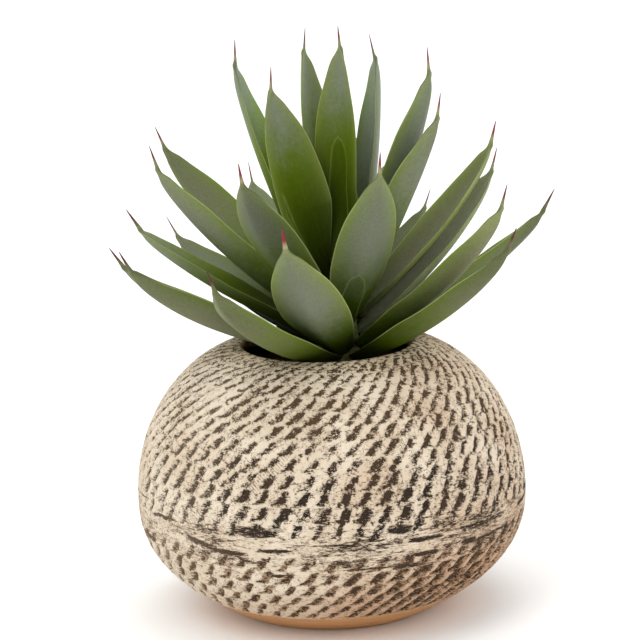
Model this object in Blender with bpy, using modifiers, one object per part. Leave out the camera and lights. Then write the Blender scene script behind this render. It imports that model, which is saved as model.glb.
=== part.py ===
# Potted aloe: a rosette of stiff, channelled leaves with a red spine at each tip, on a short stem,
# planted a little off the middle of a round earthenware pot.
# Metres, +Z up. The origin is the centre of the pot's flat foot, and the front faces -Y.

from math import pi, radians

import bmesh
import bpy
import numpy as np
from mathutils import Matrix

# Pot
POT_RADIUS = 0.090
POT_HEIGHT = 0.124
WIDEST_HEIGHT = 0.055
FOOT_RADIUS = 0.0445
MOUTH_RADIUS = 0.0385
WALL = 0.005
FLOOR = 0.009
INNER_FOOT_RADIUS = 0.046
LIP_DEPTH = 0.005
LIP_ROUND = 0.0015
SHOULDER_POWERS = (2.0, 1.75)
BELLY_POWERS = (2.5, 1.0)
POT_STEPS = 56

# Soil and stem
GAP = 0.0003
SOIL_TOP = 0.1125
SOIL_CROWN = 0.0015
STEM_X = 0.007
STEM_BOTTOM = 0.075
STEM_TOP = 0.150
STEM_RADIUS = 0.009
STEM_TAPER = 0.1
TAPER_START = 0.114
ROUND_STEPS = 32

# Radius and height of the closed bud's rings on the stem's top, from its tip down
BUD_RINGS = ((0.0, 0.174), (0.0012, 0.167), (0.0018, 0.160), (0.0013, STEM_TOP))

# Leaves
LEAF_THICKNESS = 0.0031
BROADEST_AT = 0.45
TIP_WIDTH = 0.07
BOW_POWER = 1.6
TIP_HOOK = 14.0
HOOK_START = 0.8
SWEEP_LEAD = 0.4
TURNED_BY = 0.4
LOWEST_ROOT = 0.118
HIGHEST_ROOT = 0.150
ROOT_SPREAD = 1.5
ROOT_GAP = 0.0007
LEAF_STATIONS = 12
PATH_STEPS = 60
SPINE_LENGTH = 0.0105
SPINE_RINGS = ((0.3, 0.00075), (0.65, 0.0005), (1.0, 0.00025))

# Blade width in metres, the root's width as a share of it, and how far the margins rise
LEAF_FORMS = {
    "open": (0.028, 0.22, 0.34),
    "folded": (0.028, 0.22, 0.45),
    "clasping": (0.028, 0.38, 0.3),
    "wide": (0.030, 0.5, 0.3),
}

# One leaf a row, from the lowest root up: its form, where its spine ends in millimetres to the right,
# to the back and up, and in degrees how far it bows up, its upper side turns and it sweeps round.
LEAVES = (
    ("clasping", -50, -95, 180, 34, 0, 0),
    ("clasping", 83, -72, 190, 26, 0, 0),
    ("open", -100, 28, 167, 28, 5, 0),
    ("open", 4, 114, 159, 8, 0, 0),
    ("open", -58, 80, 152, 12, 0, 0),
    ("folded", 108, 33, 187, 22, -20, 0),
    ("open", -91, -41, 179, 32, 20, 12),
    ("wide", -18, -95, 197, 26, 10, -5),
    ("open", 53, 98, 177, 6, -25, 0),
    ("open", -75, 70, 173, 24, 0, 0),
    ("folded", 80, -55, 206, 28, 10, -10),
    ("open", 5, 108, 186, 12, 0, 0),
    ("folded", 82, 42, 206, 24, -5, 10),
    ("open", -89, -5, 191, 18, 0, 0),
    ("open", -35, 88, 195, 18, 0, -15),
    ("open", 37, 92, 204, 10, -10, 0),
    ("open", -36, -62, 220, 10, 5, 18),
    ("open", 25, -68, 224, 16, 5, -5),
    ("folded", -77, -6, 220, 22, 15, 0),
    ("open", -2, 78, 212, 10, 0, 0),
    ("open", 81, 32, 220, 25, -5, 0),
    ("open", -78, 66, 217, 14, 0, -10),
    ("open", 13, 68, 224, 8, 0, 0),
    ("open", 53, -36, 244, 6, 5, 0),
    ("open", -37, 20, 263, 14, 10, 0),
    ("open", 23, 16, 264, 20, -30, 0),
    ("open", -5, 32, 266, 22, 38, 0),
    ("folded", 48, -18, 262, 16, 0, 0),
    ("open", -21, 5, 252, 4, -45, 0),
    ("open", 9, 9, 269, 14, -35, 0),
)


def clear_scene():
    for obj in list(bpy.context.scene.objects):
        bpy.data.objects.remove(obj, do_unlink=True)


def new_collection(name):
    collection = bpy.data.collections.new(name)
    bpy.context.scene.collection.children.link(collection)
    return collection


def make_material(name, color, roughness):
    material = bpy.data.materials.new(name)
    material.use_nodes = True
    shader = material.node_tree.nodes["Principled BSDF"]
    shader.inputs["Base Color"].default_value = (*color, 1.0)
    shader.inputs["Roughness"].default_value = roughness
    shader.inputs["Metallic"].default_value = 0.0
    return material


def add_object(name, mesh, material, collection):
    obj = bpy.data.objects.new(name, mesh)
    mesh.materials.append(material)
    collection.objects.link(obj)
    return obj


def add_turned(name, profile, steps, material, collection):
    """A profile of (radius, height) points, down its outer side, turned round Z."""
    mesh = bpy.data.meshes.new(name)
    points = [(radius, 0.0, height) for radius, height in profile]
    edges = [(i, i + 1) for i in range(len(points) - 1)]
    mesh.from_pydata(points, edges, [])
    obj = add_object(name, mesh, material, collection)
    screw = obj.modifiers.new("Turn", "SCREW")
    screw.steps = steps
    screw.render_steps = steps
    screw.use_merge_vertices = True
    screw.merge_threshold = 0.00005
    return obj


def shoulder_radius(height, wide, mouth, top):
    """Radius above the widest ring: a flattened quarter oval that ends level at the mouth."""
    outer, inner = SHOULDER_POWERS
    t = np.clip((height - WIDEST_HEIGHT) / (top - WIDEST_HEIGHT), 0, 1)
    return mouth + (wide - mouth) * (1 - t**outer) ** (1 / inner)


def belly_radius(height, wide, foot, bottom):
    """Radius below the widest ring, down to the foot."""
    outer, inner = BELLY_POWERS
    t = np.clip((WIDEST_HEIGHT - height) / (WIDEST_HEIGHT - bottom), 0, 1)
    return foot + (wide - foot) * (1 - t**outer) ** (1 / inner)


def shoulder(wide, mouth, top, highest, count):
    """Points down the shoulder from a height to the widest ring, closer together near the top."""
    steepest = np.arcsin((highest - WIDEST_HEIGHT) / (top - WIDEST_HEIGHT))
    heights = WIDEST_HEIGHT + (top - WIDEST_HEIGHT) * np.sin(np.linspace(steepest, 0, count))
    return list(zip(shoulder_radius(heights, wide, mouth, top), heights))


def belly(wide, foot, bottom, count):
    """Points down the belly, from just under the widest ring to the foot."""
    t = np.linspace(0, 1, count + 1)[1:] ** 0.8
    heights = WIDEST_HEIGHT + (bottom - WIDEST_HEIGHT) * t
    return list(zip(belly_radius(heights, wide, foot, bottom), heights))


def lip(count):
    """The mouth's rounded inner edge, up from the bore and over to the shoulder."""
    angles = np.linspace(pi, pi / 2, count)
    radii = MOUTH_RADIUS + LIP_ROUND * (1 + np.cos(angles))
    heights = POT_HEIGHT - LIP_ROUND * (1 - np.sin(angles))
    return list(zip(radii, heights))


def make_pot(collection):
    material = make_material("pot", (0.62, 0.50, 0.38), 0.85)
    ceiling = POT_HEIGHT - LIP_DEPTH
    inside = shoulder(POT_RADIUS - WALL, MOUTH_RADIUS, ceiling, ceiling, 8)
    inside += belly(POT_RADIUS - WALL, INNER_FOOT_RADIUS, FLOOR, 5)
    outside = shoulder(POT_RADIUS, MOUTH_RADIUS, POT_HEIGHT, POT_HEIGHT, 12)[1:]
    outside += belly(POT_RADIUS, FOOT_RADIUS, 0.0, 8)
    profile = [(0.0, FLOOR)] + inside[::-1] + lip(4) + outside + [(0.0, 0.0)]
    add_turned("pot", profile, POT_STEPS, material, collection)


def make_soil(collection, cutters):
    """The fill inside the pot, slightly crowned, with a plain hole for the stem."""
    material = make_material("soil", (0.035, 0.025, 0.018), 0.95)
    wide = POT_RADIUS - WALL - GAP
    mouth = MOUTH_RADIUS - GAP
    ceiling = POT_HEIGHT - LIP_DEPTH - GAP
    side = shoulder(wide, mouth, ceiling, SOIL_TOP, 6)
    side += belly(wide, INNER_FOOT_RADIUS - GAP, FLOOR + GAP, 5)
    shares = np.linspace(0, 1, 4)[:-1]
    crown = [(side[0][0] * share, SOIL_TOP + SOIL_CROWN * (1 - share**2)) for share in shares]
    profile = crown + side + [(0.0, FLOOR + GAP)]
    soil = add_turned("soil", profile, POT_STEPS, material, collection)
    hole = bpy.data.meshes.new("stem_hole")
    depth = SOIL_TOP + 0.01 - (STEM_BOTTOM - GAP)
    shape = bmesh.new()
    place = Matrix.Translation((STEM_X, 0.0, STEM_BOTTOM - GAP + depth / 2))
    radius = STEM_RADIUS + GAP
    bmesh.ops.create_cone(
        shape, cap_ends=True, segments=ROUND_STEPS, radius1=radius, radius2=radius, depth=depth, matrix=place
    )
    shape.to_mesh(hole)
    shape.free()
    cutter = add_object("stem_hole", hole, material, cutters)
    cutter.hide_render = True
    cutter.display_type = "WIRE"
    cut = soil.modifiers.new("Stem hole", "BOOLEAN")
    cut.operation = "DIFFERENCE"
    cut.solver = "EXACT"
    cut.object = cutter


def stem_radius(height):
    return STEM_RADIUS - STEM_TAPER * np.maximum(height - TAPER_START, 0.0)


def make_stem(collection):
    """The tapered stem, with the closed bud of its youngest leaves on top."""
    material = make_material("stem", (0.20, 0.22, 0.09), 0.8)
    top = stem_radius(STEM_TOP)
    profile = list(BUD_RINGS) + [(top, STEM_TOP - 0.001), (STEM_RADIUS, TAPER_START)]
    profile += [(STEM_RADIUS, STEM_BOTTOM), (0.0, STEM_BOTTOM)]
    stem = add_turned("stem", profile, ROUND_STEPS, material, collection)
    stem.location.x = STEM_X


def half_width(s, width, neck):
    """Half the blade's width along it (0 root, 1 tip): it swells from the neck, then tapers."""
    swell = neck + (1 - neck) * np.sin(pi / 2 * np.clip(s / BROADEST_AT, 0, 1)) ** 1.3
    x = np.clip((s - BROADEST_AT) / (1 - BROADEST_AT), 0, 1)
    taper = TIP_WIDTH + (1 - TIP_WIDTH) * (1 - x**2.4) ** 0.85
    return width / 2 * np.where(s < BROADEST_AT, swell, taper)


def climb(s, bow):
    """How far the blade points above its lift, in radians: its bow, and the hook at its tip."""
    hook = TIP_HOOK * np.clip((s - HOOK_START) / (1 - HOOK_START), 0, 1) ** 2
    return np.radians(bow * s**BOW_POWER + hook)


def aim(tip, root_height, bow, sweep):
    """The root, heading, lift and blade length that bring the spine's end to its place."""
    out_x = tip[0] - STEM_X
    heading = np.arctan2(tip[1], out_x)
    reach = stem_radius(root_height) + ROOT_GAP
    root = np.array([STEM_X + reach * np.cos(heading), reach * np.sin(heading), root_height])
    out = np.hypot(out_x, tip[1]) - reach
    rise = tip[2] - root_height
    chord = np.hypot(out, rise)
    straight = chord - SPINE_LENGTH
    bend = climb(np.linspace(0, 1, PATH_STEPS + 1), bow)
    end_out = straight * np.cos(bend).mean() + SPINE_LENGTH * np.cos(bend[-1])
    end_rise = straight * np.sin(bend).mean() + SPINE_LENGTH * np.sin(bend[-1])
    length = straight * chord / np.hypot(end_out, end_rise)
    lift = np.arctan2(rise, out) - np.arctan2(end_rise, end_out)
    return root, heading - SWEEP_LEAD * radians(sweep), lift, length


def directions(s, heading, lift, bow, sweep):
    """The blade's direction and its level side direction, as it bows up and sweeps round."""
    up = lift + climb(s, bow)
    turn = heading + radians(sweep) * s**BOW_POWER
    along = np.stack([np.cos(up) * np.cos(turn), np.cos(up) * np.sin(turn), np.sin(up)], axis=-1)
    side = np.stack([-np.sin(turn), np.cos(turn), np.zeros_like(turn)], axis=-1)
    return along, side


def leaf_rings(rank, form, right_mm, back_mm, up_mm, bow, turn, sweep):
    """Rings of eight points: over the channelled top from one margin to the other and back under."""
    width, neck, cup = LEAF_FORMS[form]
    root_share = (rank / (len(LEAVES) - 1)) ** ROOT_SPREAD
    root_height = LOWEST_ROOT + (HIGHEST_ROOT - LOWEST_ROOT) * root_share
    spine_end = np.array([right_mm, back_mm, up_mm]) / 1000
    root, heading, lift, length = aim(spine_end, root_height, bow, sweep)
    path = np.linspace(0, 1, PATH_STEPS + 1)
    along, _ = directions(path, heading, lift, bow, sweep)
    steps = (along[1:] + along[:-1]) / 2 * length / PATH_STEPS
    line = root + np.vstack([np.zeros(3), np.cumsum(steps, axis=0)])

    s = np.sin(pi / 2 * np.linspace(0, 1, LEAF_STATIONS))
    centre = np.stack([np.interp(s, path, line[:, axis]) for axis in range(3)], axis=-1)
    along, level = directions(s, heading, lift, bow, sweep)
    normal = np.cross(along, level)
    roll = np.radians(turn * np.clip(s / TURNED_BY, 0, 1))[:, None]
    side = level * np.cos(roll) + normal * np.sin(roll)
    up = normal * np.cos(roll) - level * np.sin(roll)

    half = half_width(s, width, neck)
    thickness = np.minimum(LEAF_THICKNESS * (1 - 0.5 * s), 1.3 * half)
    rings = []
    for across, under in ((-1, 0), (-0.55, 0), (0, 0), (0.55, 0), (1, 0), (0.5, 1), (0, 1), (-0.5, 1)):
        rise = half * cup * abs(across) ** 1.4 - under * thickness * (1 - abs(across) ** 1.3)
        rings.append(centre + side * (half * across)[:, None] + up * rise[:, None])
    blade = np.stack(rings, axis=1)

    tip = centre[-1] - up[-1] * thickness[-1] * 0.4
    around = np.radians(180 - 45 * np.arange(8))[:, None]
    circle = side[-1] * np.cos(around) + up[-1] * np.sin(around)
    spine = [tip + along[-1] * SPINE_LENGTH * share + circle * radius for share, radius in SPINE_RINGS]
    return np.concatenate([blade, np.array(spine)])


def make_leaf(name, rank, row, material, collection):
    """Rings joined by triangles split alike all along, with a flat end at the root and at the tip."""
    rings = leaf_rings(rank, *row)
    count, size = rings.shape[:2]
    faces = [tuple(range(size)), tuple((count - 1) * size + i for i in reversed(range(size)))]
    for ring in range(count - 1):
        for i in range(size):
            a = ring * size + i
            b = ring * size + (i + 1) % size
            faces.append((a, b + size, b))
            faces.append((a, a + size, b + size))
    mesh = bpy.data.meshes.new(name)
    mesh.from_pydata(rings.reshape(-1, 3).tolist(), [], faces)
    mesh.shade_smooth()
    mesh.set_sharp_from_angle(angle=radians(60))
    add_object(name, mesh, material, collection)


def main():
    clear_scene()
    collection = new_collection("potted_aloe")
    cutters = new_collection("cutters")
    make_pot(collection)
    make_soil(collection, cutters)
    make_stem(collection)
    leaf_material = make_material("leaf", (0.30, 0.36, 0.24), 0.55)
    for rank, row in enumerate(LEAVES):
        make_leaf(f"leaf_{rank + 1:02d}", rank, row, leaf_material, collection)


main()
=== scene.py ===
import bpy
import numpy as np
from mathutils import Matrix, Vector


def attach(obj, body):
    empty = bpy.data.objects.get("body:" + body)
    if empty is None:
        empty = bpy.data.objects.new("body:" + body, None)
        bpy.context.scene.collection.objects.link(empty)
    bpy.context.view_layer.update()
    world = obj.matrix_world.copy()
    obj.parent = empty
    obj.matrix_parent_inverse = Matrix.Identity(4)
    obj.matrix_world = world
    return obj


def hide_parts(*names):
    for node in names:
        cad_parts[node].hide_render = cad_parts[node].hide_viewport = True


# Potted aloe: a rosette of stiff channelled leaves with red spines in a round earthenware pot.
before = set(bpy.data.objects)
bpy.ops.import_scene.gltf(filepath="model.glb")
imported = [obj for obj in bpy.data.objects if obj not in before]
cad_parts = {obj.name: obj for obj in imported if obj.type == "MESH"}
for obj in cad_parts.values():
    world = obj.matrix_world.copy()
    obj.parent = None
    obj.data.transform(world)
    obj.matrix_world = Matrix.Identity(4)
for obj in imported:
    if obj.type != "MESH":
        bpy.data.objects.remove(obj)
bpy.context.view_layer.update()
print("frame loaded:", len(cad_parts), "nodes")


# Shared helpers for meshes

def ringFaces(rings, around):
    # quads between ring i and ring i + 1, each closed round on itself
    i, j = np.meshgrid(np.arange(rings - 1) * around, np.arange(around), indexing="ij")
    k = (j + 1) % around
    return np.stack([i + j, i + k, i + around + k, i + around + j], axis=-1).reshape(-1, 4)


def closedTube(name, grid, material, startPoint, endPoint):
    # grid[i, j] is point j of ring i; the first ring and the last are each drawn to one point
    rings, around = grid.shape[:2]
    points = np.concatenate([grid.reshape(-1, 3), [startPoint, endPoint]])
    quads = ringFaces(rings, around)
    j, last = np.arange(around), (rings - 1) * around
    k, start, end = (j + 1) % around, np.full(around, len(points) - 2), np.full(around, len(points) - 1)
    fans = np.concatenate([np.stack([start, k, j], axis=-1), np.stack([end, last + j, last + k], axis=-1)])
    a, b, c = points[quads[:, 0]], points[quads[:, 1]], points[quads[:, 2]]
    volume = (a * np.cross(b, c)).sum() + (a * np.cross(c, points[quads[:, 3]])).sum()
    if volume < 0:  # turned inside out, so every face is read backwards
        quads, fans = quads[:, ::-1], fans[:, ::-1]
    mesh = bpy.data.meshes.new(name)
    mesh.from_pydata(points.tolist(), [], quads.tolist() + fans.tolist())
    mesh.shade_smooth()
    mesh.materials.append(material)
    piece = bpy.data.objects.new(name, mesh)
    bpy.context.scene.collection.objects.link(piece)
    return piece


def addAttribute(piece, name, values, endValues):
    # one number (or one vector) per grid point, then the two end points
    values = np.concatenate([np.asarray(values, float).reshape(len(piece.data.vertices) - 2, -1),
                             np.asarray(endValues, float).reshape(2, -1)])
    kind, key = ("FLOAT_VECTOR", "vector") if values.shape[1] == 3 else ("FLOAT", "value")
    piece.data.attributes.new(name, kind, "POINT").data.foreach_set(key, values.ravel())


def smoothStep(value, low, high):
    # 3 t^2 - 2 t^3, with t from 0 at low to 1 at high
    t = np.clip((value - low) / (high - low), 0, 1)
    return t * t * (3 - 2 * t)


# Shared helpers for materials

def paint(code):
    # a hex screen colour as linear light: c / 12.92 for a dark channel, else ((c + 0.055) / 1.055)^2.4
    channels = np.array([int(code[i:i + 2], 16) for i in (0, 2, 4)]) / 255
    linear = np.where(channels <= 0.04045, channels / 12.92, ((channels + 0.055) / 1.055) ** 2.4)
    return (*linear.tolist(), 1.0)


def paints(codes):
    # the same for a whole dictionary of named colours
    return {name: paint(code) for name, code in codes.items()}


class Graph:
    # a small wrapper that adds shader nodes and hands back their first output
    def __init__(self, name):
        self.material = bpy.data.materials.new(name)
        self.material.use_nodes = True
        self.tree = self.material.node_tree
        self.surface = self.tree.nodes["Principled BSDF"]

    def add(self, kind, wires, output=0, **settings):
        made = self.tree.nodes.new(kind)
        for key, value in settings.items():
            setattr(made, key, value)
        for socket, value in wires.items():
            self.plug(made.inputs[socket], value)
        return made.outputs[output]

    def plug(self, socket, value):
        if isinstance(value, bpy.types.NodeSocket):
            self.tree.links.new(value, socket)
        else:
            socket.default_value = value

    def attribute(self, name, output="Fac"):
        return self.add("ShaderNodeAttribute", {}, output, attribute_name=name)

    def position(self):
        return self.add("ShaderNodeTexCoord", {}, "Object")

    def stretch(self, vector, scale):
        return self.add("ShaderNodeMapping", {"Vector": vector, "Scale": scale})

    def math(self, operation, a, b=0.0, c=0.0, clamp=False):
        return self.add("ShaderNodeMath", {0: a, 1: b, 2: c}, operation=operation, use_clamp=clamp)

    def times(self, a, b):
        return self.math("MULTIPLY", a, b)

    def plus(self, a, b):
        return self.math("ADD", a, b)

    def timesPlus(self, a, b, c):
        return self.math("MULTIPLY_ADD", a, b, c)

    def fade(self, value, low, high, outLow=0.0, outHigh=1.0):
        wires = {"Value": value, "From Min": low, "From Max": high, "To Min": outLow, "To Max": outHigh}
        return self.add("ShaderNodeMapRange", wires, interpolation_type="SMOOTHSTEP")

    def noise(self, vector, scale, detail=2.0, roughness=0.5):
        wires = {"Vector": vector, "Scale": scale, "Detail": detail, "Roughness": roughness}
        return self.add("ShaderNodeTexNoise", wires)

    def swing(self, *look):
        # noise that swings about zero
        return self.math("SUBTRACT", self.noise(*look), 0.5)

    def away(self, value, middle):
        # |value - middle|
        return self.math("ABSOLUTE", self.math("SUBTRACT", value, middle))

    def mix(self, factor, first, second, mode="MIX"):
        made = self.tree.nodes.new("ShaderNodeMix")
        made.data_type, made.blend_type = "RGBA", mode
        for socket, value in ((0, factor), (6, first), (7, second)):
            self.plug(made.inputs[socket], value)
        return made.outputs[2]

    def coats(self, color, *layers):
        # colours laid over one another, each layer with how much it covers and its colour
        for cover, coat in layers:
            color = self.mix(cover, color, coat)
        return color

    def bump(self, height, distance, strength):
        return self.add("ShaderNodeBump", {"Height": height, "Distance": distance, "Strength": strength})

    def finish(self, **sockets):
        names = {"color": "Base Color", "roughness": "Roughness", "normal": "Normal",
                 "specular": "Specular IOR Level"}
        for key, value in sockets.items():
            self.plug(self.surface.inputs[names[key]], value)
        return self.material


# Pot

pot = {
    "radius": 0.090, "height": 0.124, "widestHeight": 0.055, "footRadius": 0.0445, "mouthRadius": 0.0385,
    "wall": 0.005, "floor": 0.009, "innerFootRadius": 0.046, "lipDepth": 0.005, "lipRound": 0.0015,
    "shoulderPowers": (2.0, 1.75), "bellyPowers": (2.5, 1.0),
    "around": 640, "bareStations": 8, "stations": 122, "seed": 11,
    "turningRings": 0.00006, "uneven": 0.00012,  # how far the thrown wall waves in and out
    # rows of strokes, from low to high: where they start and end in mm up the wall and how many there are,
    # then strokes a turn and how many strokes a row leans in a mm, in the lowest row and in the highest,
    # half a stroke's width as a share of its pitch, and how far it is pressed in
    "lowerRows": {"from": 25.0, "to": 69.0, "rows": 6, "strokes": (52, 54), "lean": (0.05, 0.07),
                  "halfWidth": 0.25, "depth": 0.0018},
    "upperRows": {"from": 77.0, "to": 171.0, "rows": 13, "strokes": (60, 50), "lean": (0.04, 0.14),
                  "halfWidth": 0.205, "depth": 0.0010},
    "rowWaves": ((0.35, 3, 0.4), (0.25, 8, 0)),  # mm high, times round, where they start
    # a stroke: the powers that round its sides and ends, how far it reaches in its row, where its hook starts
    # and ends, how far that goes aside and widens; then how much place, width, reach and ink vary
    "stroke": {"sidePower": 2.5, "endPower": 5, "reach": 0.88, "hook": (0.35, 0.9), "hookAside": 0.13,
               "hookWider": 0.10, "placeVaries": 0.06, "widthVaries": 0.18, "reachVaries": 0.08,
               "inkVaries": 0.3},
    "noMark": -2.5,  # what a field holds where there is no mark
    "sinks": (-1.3, 0.5),  # between these values of its field a stroke sinks in
    # where the dark wash is stronger or weaker: how much, mm up the wall where it comes in and where it goes
    # out, degrees from the front and the spread round that
    "washes": (
        (0.2, (81, 85), (94, 108), 0, None), (0.2, (81, 85), (94, 108), 12, 32),
        (0.18, (100, 115), None, 45, 25), (-0.3, (58, 66), (80, 84), 0, None),
        (-0.3, (156, 168), None, 0, None),
    ),
    # brush blots in the plain band: degrees from the front, mm up the wall, half length in degrees,
    # half height in mm, rise in mm a degree
    "blots": (
        (-23, 80, 7, 2.2, 0), (-40, 71, 7, 1.4, -0.25), (-30, 69, 5, 1.3, 0), (-17, 72, 6, 0.8, 0.1),
        (-24, 66, 4, 0.8, 0), (-15, 60, 4, 0.9, 0), (0, 75, 8, 0.5, -0.03), (19, 80, 4, 2, 0),
        (7, 79, 2, 1, 0), (30, 83, 9, 0.5, 0.02), (46, 75, 10, 0.7, -0.05), (27, 74, 6, 1.2, 0),
        (27, 67, 4, 1.2, 0), (42, 68, 3, 1.6, 0), (10, 63, 9, 0.7, 0), (22, 62, 5, 1.2, 0),
        (55, 68, 9, 1, 0.05), (-58, 78, 7, 1, 0.1),
    ),
    "blotsBehind": {"count": 34, "ranges": ((70, 290), (58, 82), (3, 10), (0.4, 1.9), (-0.1, 0.15))},
    # places where the dark wash is worn: degrees from the front, mm up the wall, spreads, how much is gone
    "worn": ((-22, 118, 6, 20, 0.35), (-55, 105, 18, 20, 0.2), (60, 104, 12, 12, 0.2)),
    "wornBehind": {"count": 12, "ranges": ((75, 285), (88, 150), (5, 11), (8, 22), (0.3, 0.7))},
    "colors": {
        # the stain colour is partly a real stain and partly painted shade
        "slip": "ecdec8", "slipShade": "e0cfb6", "stainAndShade": "cfa98a", "tan": "d2b292", "crack": "5c4836",
        # the flank colour is painted shade on the flanks of the raised bars
        "fleck": "816650", "fringe": "9b7b5d", "flankShade": "a9825f", "clay": "dcaa76", "clayShade": "b98459",
        "lip": "d9b58c", "inkAbove": "54422f", "ink": "29221c", "inkBelow": "423327", "inkBrown": "5c4634",
        # the mouth colours are partly painted shade from the leaves
        "inkWorn": "7e6850", "inkLeft": "786856", "mouthSlip": "e2d0ac", "mouthInk": "4d3f30",
    },
}


def shoulderRadius(height, wide, mouth, top):
    # above the widest ring: mouth + (wide - mouth) * (1 - t^outer)^(1/inner), t from 0 there to 1 at the top
    outer, inner = pot["shoulderPowers"]
    t = np.clip((height - pot["widestHeight"]) / (top - pot["widestHeight"]), 0, 1)
    return mouth + (wide - mouth) * (1 - t**outer) ** (1 / inner)


def bellyRadius(height, wide, foot, bottom):
    # below the widest ring: the same form, with t from 0 there to 1 at the bottom
    outer, inner = pot["bellyPowers"]
    t = np.clip((pot["widestHeight"] - height) / (pot["widestHeight"] - bottom), 0, 1)
    return foot + (wide - foot) * (1 - t**outer) ** (1 / inner)


def outerWall():
    # the outer wall's (radius, height) at steps along its own length, and that length in mm
    t = np.linspace(0, 1, 3000)
    low = pot["widestHeight"] * t
    high = pot["widestHeight"] + (pot["height"] - pot["widestHeight"]) * np.sin(t[1:] * np.pi / 2)
    z = np.concatenate([low, high])
    r = np.where(z < pot["widestHeight"], bellyRadius(z, pot["radius"], pot["footRadius"], 0.0),
                 shoulderRadius(z, pot["radius"], pot["mouthRadius"] + pot["lipRound"], pot["height"]))
    length = np.concatenate([[0], np.cumsum(np.hypot(np.diff(z), np.diff(r)))]) * 1000
    bareTop = pot["lowerRows"]["from"] - 2
    bare = np.linspace(0, bareTop, pot["bareStations"], endpoint=False)
    climb = np.concatenate([bare, np.linspace(bareTop, length[-1], pot["stations"])])
    return np.interp(climb, length, r), np.interp(climb, length, z), climb


def strokeRows(look, rng):
    # rows of one height: strokes a turn and lean change evenly from the lowest row to the highest, and each
    # row starts anywhere round the pot
    edges = np.linspace(look["from"], look["to"], look["rows"] + 1)
    counts = np.linspace(*look["strokes"], look["rows"]).round().astype(int)
    leans = np.linspace(*look["lean"], look["rows"])
    return zip(edges[:-1], edges[1:], counts, leans, rng.uniform(0, 7, look["rows"]))


def strokeField(degrees, climb, look, thin, lined, rng):
    # every row has its own strokes: 1 - |x / halfWidth|^sidePower - |y / reach|^endPower, where x is the
    # share of a stroke's pitch from its middle line and y runs from -1 to 1 up the row; the foot has a hook
    stroke = pot["stroke"]
    field = np.full(np.broadcast(degrees, climb).shape, pot["noMark"])
    waving = climb
    for high, times, start in pot["rowWaves"]:
        waving = waving + high * np.sin(np.radians(times * degrees) + start)
    for start, stop, count, lean, phase in strokeRows(look, rng):
        middle, high = (start + stop) / 2, (stop - start) / 2
        slant = count * (degrees - phase) / 360 - lean * (waving - middle)
        slant = slant + 0.1 * np.sin(np.radians(4 * degrees) + middle)
        which = np.floor(slant + 0.5)
        picks = rng.uniform(-1, 1, (4, count))[:, which.astype(int) % count]
        y = (waving - middle) / high
        hook = smoothStep(-y, *stroke["hook"])
        x = slant - which + stroke["placeVaries"] * picks[0] + stroke["hookAside"] * hook
        wide = look["halfWidth"] * thin * (1 + stroke["widthVaries"] * picks[1]) + stroke["hookWider"] * hook
        reach = stroke["reach"] + stroke["reachVaries"] * picks[2]
        inside = 1 - np.abs(x / wide) ** stroke["sidePower"] - np.abs(y / reach) ** stroke["endPower"]
        inside = inside + stroke["inkVaries"] * picks[3]
        # towards the sides a fine line runs under each row
        inside = np.maximum(inside, 0.35 - np.abs(y + 0.92) / 0.09 - 1.3 * (1 - lined) + 0.35 * picks[1])
        field = np.where(np.abs(y) <= 1, np.clip(inside, -1.5, 1.2), field)
    return field


def scatter(look, rng):
    # rows like those above for the back of the pot: every column is drawn evenly between its two limits
    columns = [rng.uniform(low, high, look["count"]) for low, high in look["ranges"]]
    return np.stack(columns, axis=-1).tolist()


def blotField(degrees, climb, rng):
    # the brush blots: the highest of 1 - (x / halfLength)^4 - (y / halfHeight)^2 over them all
    field = np.full(np.broadcast(degrees, climb).shape, pot["noMark"])
    blots = list(pot["blots"]) + scatter(pot["blotsBehind"], rng)
    for place, height, halfLength, halfHeight, rise in blots:
        x = (degrees - place + 180) % 360 - 180
        y = climb - height - rise * x
        field = np.maximum(field, 1 - (x / halfLength) ** 4 - (y / halfHeight) ** 2)
    return field


def wornField(degrees, climb, rng):
    # how much of the wash is gone: the sum of share * exp(-(x / wide)^2 - (y / high)^2) over the worn places
    gone = np.zeros(np.broadcast(degrees, climb).shape)
    for place, height, wide, high, share in list(pot["worn"]) + scatter(pot["wornBehind"], rng):
        x = (degrees - place + 180) % 360 - 180
        gone = gone + share * np.exp(-((x / wide) ** 2) - ((climb - height) / high) ** 2)
    return gone


def washField(degrees, climb):
    # how much stronger the wash is: the sum of the washes, each a smooth step in, a smooth step out and
    # exp(-(x / spread)^2) round the pot
    stronger = np.zeros(np.broadcast(degrees, climb).shape)
    for amount, comesIn, goesOut, place, spread in pot["washes"]:
        share = amount * smoothStep(climb, *comesIn)
        if goesOut:
            share = share * (1 - smoothStep(climb, *goesOut))
        if spread:
            share = share * np.exp(-(((degrees - place) / spread) ** 2))
        stronger = stronger + share
    return stronger


def insideWall(start, gap, steps):
    # the inside wall's (radius, height), from the height start down to the floor, moved in by a gap
    ceiling, bottom = pot["height"] - pot["lipDepth"] - gap, pot["floor"] + gap
    wide, rise = pot["radius"] - pot["wall"] - gap, ceiling - pot["widestHeight"]
    steepest = np.arcsin((start - pot["widestHeight"]) / rise)
    high = pot["widestHeight"] + rise * np.sin(np.linspace(steepest, 0, steps))
    low = np.linspace(pot["widestHeight"], bottom, 6)[1:]
    radius = np.concatenate([shoulderRadius(high, wide, pot["mouthRadius"] - gap, ceiling),
                             bellyRadius(low, wide, pot["innerFootRadius"] - gap, bottom)])
    return np.stack([radius, np.concatenate([high, low])], axis=-1)


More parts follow.
